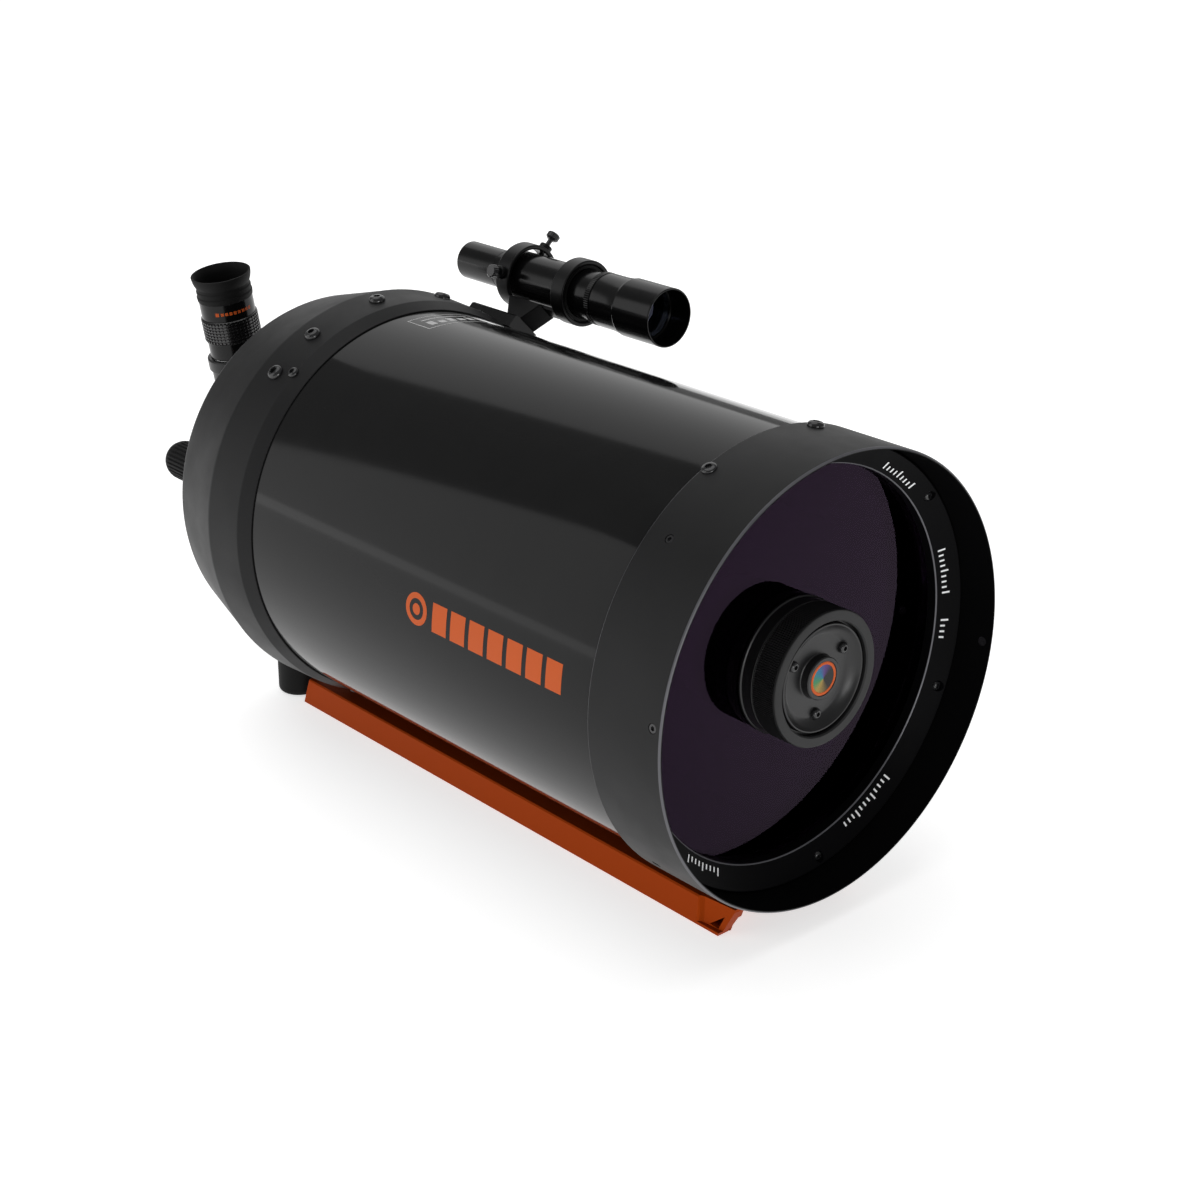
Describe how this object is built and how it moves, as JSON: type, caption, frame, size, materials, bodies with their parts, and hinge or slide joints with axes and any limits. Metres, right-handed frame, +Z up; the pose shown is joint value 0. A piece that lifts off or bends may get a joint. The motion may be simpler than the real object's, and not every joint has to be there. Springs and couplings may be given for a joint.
{
  "type": "schmidt-cassegrain telescope tube",
  "caption": "Short black catadioptric telescope tube with front corrector and hood, rear focuser, star diagonal with eyepiece, finder scope and wide dovetail bar.",
  "frame": {"origin": "centre of the dovetail bar's underside, below the optical axis", "axes": "+X along the optical axis out of the front of the tube, +Z up from the bar to the tube, +Y to the side the finder leans to"},
  "size_m": [0.5228, 0.2563, 0.2688],
  "materials": {
    "tube_paint": "gloss black powder paint",
    "cell_paint": "satin dark grey fine-textured paint",
    "orange_anodised": "orange anodised, fine satin",
    "black_anodised": "black anodised, satin",
    "gloss_black": "gloss black paint",
    "corrector_glass": "anti-reflection coated, faint purple",
    "lens_glass": "anti-reflection coated optical glass",
    "mirror_coat": "aluminised glass",
    "black_rubber": "matte moulded rubber",
    "black_plastic": "matte moulded plastic",
    "bright_chrome": "polished chrome",
    "black_steel": "black oxide steel",
    "thread_brass": "machined brass",
    "baffle_black": "flat black inside paint"
  },
  "bodies": {
    "tube_assembly": {"main_tube": "tube_paint", "front_cell": "cell_paint", "rear_cell": "cell_paint", "corrector_plate": "corrector_glass", "corrector_gasket": "black_rubber", "corrector_retaining_ring": "cell_paint", "retaining_ring_screws": "black_steel", "front_cell_set_screws": "black_steel", "accessory_screws": "black_steel", "rear_tube_screws": "black_steel", "secondary_housing": "black_plastic", "secondary_cell": "black_plastic", "secondary_mirror": "mirror_coat", "secondary_baffle": "baffle_black", "primary_baffle_tube": "baffle_black", "focus_bushing": "black_anodised", "focus_bushing_screws": "black_steel", "visual_back": "black_anodised", "finder_shoe": "black_anodised", "finder_shoe_screws": "black_steel", "dovetail_bar": "orange_anodised", "dovetail_screws": "black_steel", "bar_saddles": "black_anodised", "rear_feet": "black_rubber"},
    "mirror_carriage": {"primary_mirror": "mirror_coat", "mirror_carrier": "black_anodised", "mirror_lock_ring": "black_anodised", "focus_arm": "black_anodised"},
    "focuser": {"focus_knob": "black_rubber", "focus_screw": "thread_brass"},
    "secondary_ring": {"secondary_lock_ring": "black_plastic"},
    "collimator_1": {"collimation_screw_1": "black_steel"},
    "collimator_2": {"collimation_screw_2": "black_steel"},
    "collimator_3": {"collimation_screw_3": "black_steel"},
    "back_clamp": {"visual_back_thumbscrew": "bright_chrome"},
    "diagonal": {"diagonal_nose": "bright_chrome", "diagonal_housing": "black_plastic", "diagonal_mirror": "mirror_coat", "diagonal_cover": "black_plastic", "diagonal_cover_screws": "black_steel", "diagonal_eyepiece_holder": "black_anodised"},
    "diagonal_clamp": {"diagonal_thumbscrew": "bright_chrome"},
    "eyepiece": {"eyepiece_barrel": "bright_chrome", "eyepiece_body": "gloss_black", "eyepiece_grip": "black_rubber", "eyepiece_eyecup": "black_rubber", "eyepiece_lenses": "lens_glass"},
    "finder_mount": {"finder_bracket": "black_anodised", "finder_spring_plunger": "black_steel"},
    "finder_clamp": {"finder_lock_screw": "black_steel"},
    "finder_screw_top": {"finder_adjust_screw_top": "black_steel"},
    "finder_screw_side": {"finder_adjust_screw_side": "black_steel"},
    "finder_pivot": {"finder_o_ring": "black_rubber"},
    "finder": {"finder_tube": "gloss_black", "finder_eyepiece": "gloss_black", "finder_eye_lens": "lens_glass", "finder_reticle": "black_steel"},
    "finder_objective": {"finder_objective_cell": "gloss_black", "finder_objective_lens": "lens_glass"},
    "finder_focus_lock": {"finder_lock_ring": "gloss_black"}
  },
  "joints": [
    {"name": "focus_turn", "type": "hinge", "parent": "tube_assembly", "child": "focuser", "pos_m": [-0.2495, -0.0675, 0.1375], "axis": [1, 0, 0], "range_deg": [-3600, 3600]},
    {"name": "mirror_slide", "type": "slide", "parent": "tube_assembly", "child": "mirror_carriage", "axis": [1, 0, 0], "range_m": [-0.0075, 0.0075]},
    {"name": "secondary_ring_turn", "type": "hinge", "parent": "tube_assembly", "child": "secondary_ring", "pos_m": [0.1945, 0, 0.1335], "axis": [1, 0, 0], "range_deg": [0, 1080]},
    {"name": "collimation_turn_1", "type": "hinge", "parent": "tube_assembly", "child": "collimator_1", "pos_m": [0.1975, 0.01732, 0.1435], "axis": [1, 0, 0], "range_deg": [-360, 360]},
    {"name": "collimation_turn_2", "type": "hinge", "parent": "tube_assembly", "child": "collimator_2", "pos_m": [0.1975, -0.01732, 0.1435], "axis": [1, 0, 0], "range_deg": [-360, 360]},
    {"name": "collimation_turn_3", "type": "hinge", "parent": "tube_assembly", "child": "collimator_3", "pos_m": [0.1975, 0, 0.1135], "axis": [1, 0, 0], "range_deg": [-360, 360]},
    {"name": "back_clamp_turn", "type": "hinge", "parent": "tube_assembly", "child": "back_clamp", "pos_m": [-0.2475, 0, 0.157], "axis": [0, 0, 1], "range_deg": [0, 720]},
    {"name": "diagonal_turn", "type": "hinge", "parent": "tube_assembly", "child": "diagonal", "pos_m": [-0.2935, 0, 0.1335], "axis": [1, 0, 0], "range_deg": [-99, 45]},
    {"name": "diagonal_clamp_turn", "type": "hinge", "parent": "diagonal", "child": "diagonal_clamp", "pos_m": [-0.2935, 0.01371, 0.18875], "axis": [0, 0.9882, 0.153], "range_deg": [0, 720]},
    {"name": "eyepiece_pull", "type": "slide", "parent": "diagonal", "child": "eyepiece", "axis": [0, -0.153, 0.9882], "range_m": [0, 0.03]},
    {"name": "finder_release", "type": "slide", "parent": "tube_assembly", "child": "finder_mount", "axis": [1, 0, 0], "range_m": [0, 0.045]},
    {"name": "finder_clamp_turn", "type": "hinge", "parent": "tube_assembly", "child": "finder_clamp", "pos_m": [-0.1415, 0.1005, 0.20733], "axis": [0, 0.7022, -0.712], "range_deg": [0, 1080]},
    {"name": "finder_tilt_radial", "type": "hinge", "parent": "finder_mount", "child": "finder_pivot", "pos_m": [-0.106, 0.11214, 0.24409], "axis": [0, 0.7022, -0.712], "range_deg": [-1, 1]},
    {"name": "finder_tilt_sideways", "type": "hinge", "parent": "finder_pivot", "child": "finder", "pos_m": [-0.106, 0.11214, 0.24409], "axis": [0, 0.712, 0.7022], "range_deg": [-1, 1]},
    {"name": "finder_top_screw_travel", "type": "slide", "parent": "finder_mount", "child": "finder_screw_top", "axis": [0, 0.712, 0.7022], "range_m": [-0.00095, 0.00095]},
    {"name": "finder_side_screw_travel", "type": "slide", "parent": "finder_mount", "child": "finder_screw_side", "axis": [0, -0.9641, 0.2656], "range_m": [-0.00085, 0.00085]},
    {"name": "finder_objective_turn", "type": "hinge", "parent": "finder", "child": "finder_objective", "pos_m": [-0.0555, 0.11214, 0.24409], "axis": [1, 0, 0], "range_deg": [-360, 360]},
    {"name": "finder_lock_turn", "type": "hinge", "parent": "finder", "child": "finder_focus_lock", "pos_m": [-0.0842, 0.11214, 0.24409], "axis": [1, 0, 0], "range_deg": [-360, 360]}
  ],
  "couplings": [
    {"joint": "focus_turn", "follows": "mirror_slide", "rad_per_m": 8377.6},
    {"joint": "finder_top_screw_travel", "follows": "finder_tilt_radial", "m_per_rad": 0.0503},
    {"joint": "finder_side_screw_travel", "follows": "finder_tilt_sideways", "m_per_rad": 0.043561}
  ]
}
